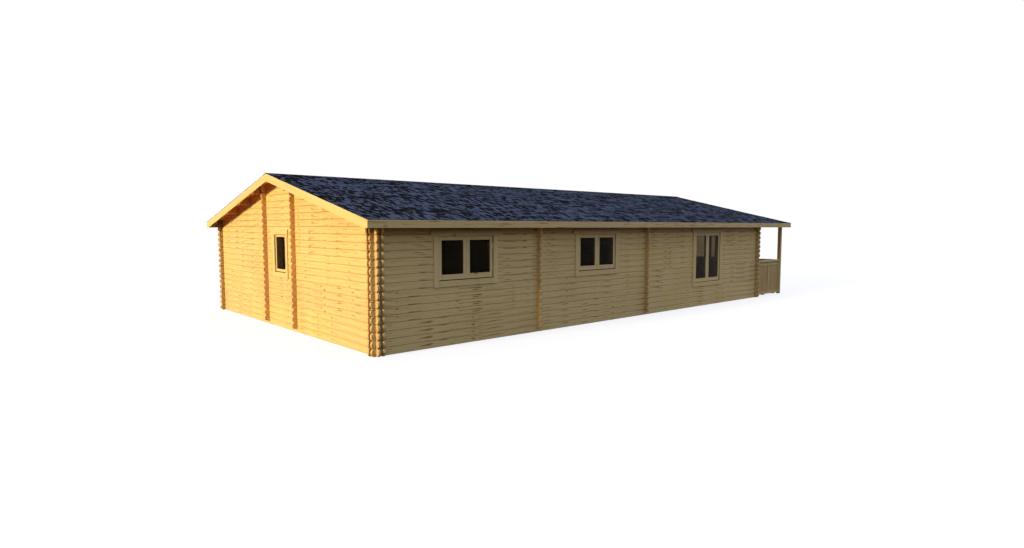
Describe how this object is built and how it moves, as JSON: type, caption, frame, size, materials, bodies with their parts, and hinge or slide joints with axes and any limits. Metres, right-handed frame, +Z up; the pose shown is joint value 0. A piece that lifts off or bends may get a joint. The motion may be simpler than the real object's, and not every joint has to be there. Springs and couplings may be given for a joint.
{
  "type": "log cabin",
  "caption": "Single-storey log cabin with twin-skin log walls, low gable roof, casement windows, inner log walls and an open railed veranda.",
  "frame": {"origin": "centre of the roof plan, on the ground", "axes": "+Z up, -Y out of the veranda gable, +X to the right as seen from in front of the veranda"},
  "size_m": [8.536, 15, 3.2715],
  "materials": {
    "log_wood": "planed softwood logs, oiled",
    "planed_trim": "planed softwood boards",
    "window_wood": "planed softwood joinery",
    "window_glass": "clear glass, dark inside",
    "roof_shingles": "mineral-faced bitumen shingles, blue-grey with dark shading",
    "roof_timber": "planed softwood, in shade",
    "floor_timber": "planed softwood boards",
    "veranda_timber": "planed softwood"
  },
  "bodies": {
    "root": {"eave_board_left": "planed_trim", "eave_board_right": "planed_trim", "floor_bearers": "floor_timber", "floor_boards": "floor_timber", "front_bargeboard_left": "planed_trim", "front_bargeboard_right": "planed_trim", "front_door_frame": "planed_trim", "front_door_glass": "window_glass", "front_door_left_leaf": "window_wood", "front_door_right_leaf": "window_wood", "front_railing_left": "veranda_timber", "front_railing_right": "veranda_timber", "front_wall_inner_logs": "log_wood", "front_wall_outer_logs": "log_wood", "front_window_frames": "planed_trim", "front_window_glass": "window_glass", "front_window_sashes": "window_wood", "gable_struts": "veranda_timber", "hall_wall_left": "log_wood", "hall_wall_right": "log_wood", "left_wall_inner_logs": "log_wood", "left_wall_outer_logs": "log_wood", "left_window_frames": "planed_trim", "left_window_glass": "window_glass", "left_window_sashes": "window_wood", "middle_cross_wall": "log_wood", "purlins_left": "roof_timber", "purlins_right": "roof_timber", "rear_bargeboard_left": "planed_trim", "rear_bargeboard_right": "planed_trim", "rear_cross_wall": "log_wood", "rear_wall_inner_logs": "log_wood", "rear_wall_outer_logs": "log_wood", "rear_window_frame": "planed_trim", "rear_window_glass": "window_glass", "rear_window_sash": "window_wood", "ridge_cap": "roof_shingles", "ridge_purlin": "roof_timber", "right_wall_inner_logs": "log_wood", "right_wall_outer_logs": "log_wood", "right_window_frames": "planed_trim", "right_window_glass": "window_glass", "right_window_sashes": "window_wood", "roof_boards_left": "roof_timber", "roof_boards_right": "roof_timber", "shingles_left": "roof_shingles", "shingles_right": "roof_shingles", "side_railing_left": "veranda_timber", "side_railing_right": "veranda_timber", "veranda_bearers": "floor_timber", "veranda_deck": "floor_timber", "veranda_front_beam": "veranda_timber", "veranda_posts": "veranda_timber", "veranda_side_beam_left": "veranda_timber", "veranda_side_beam_right": "veranda_timber"}
  },
  "joints": []
}
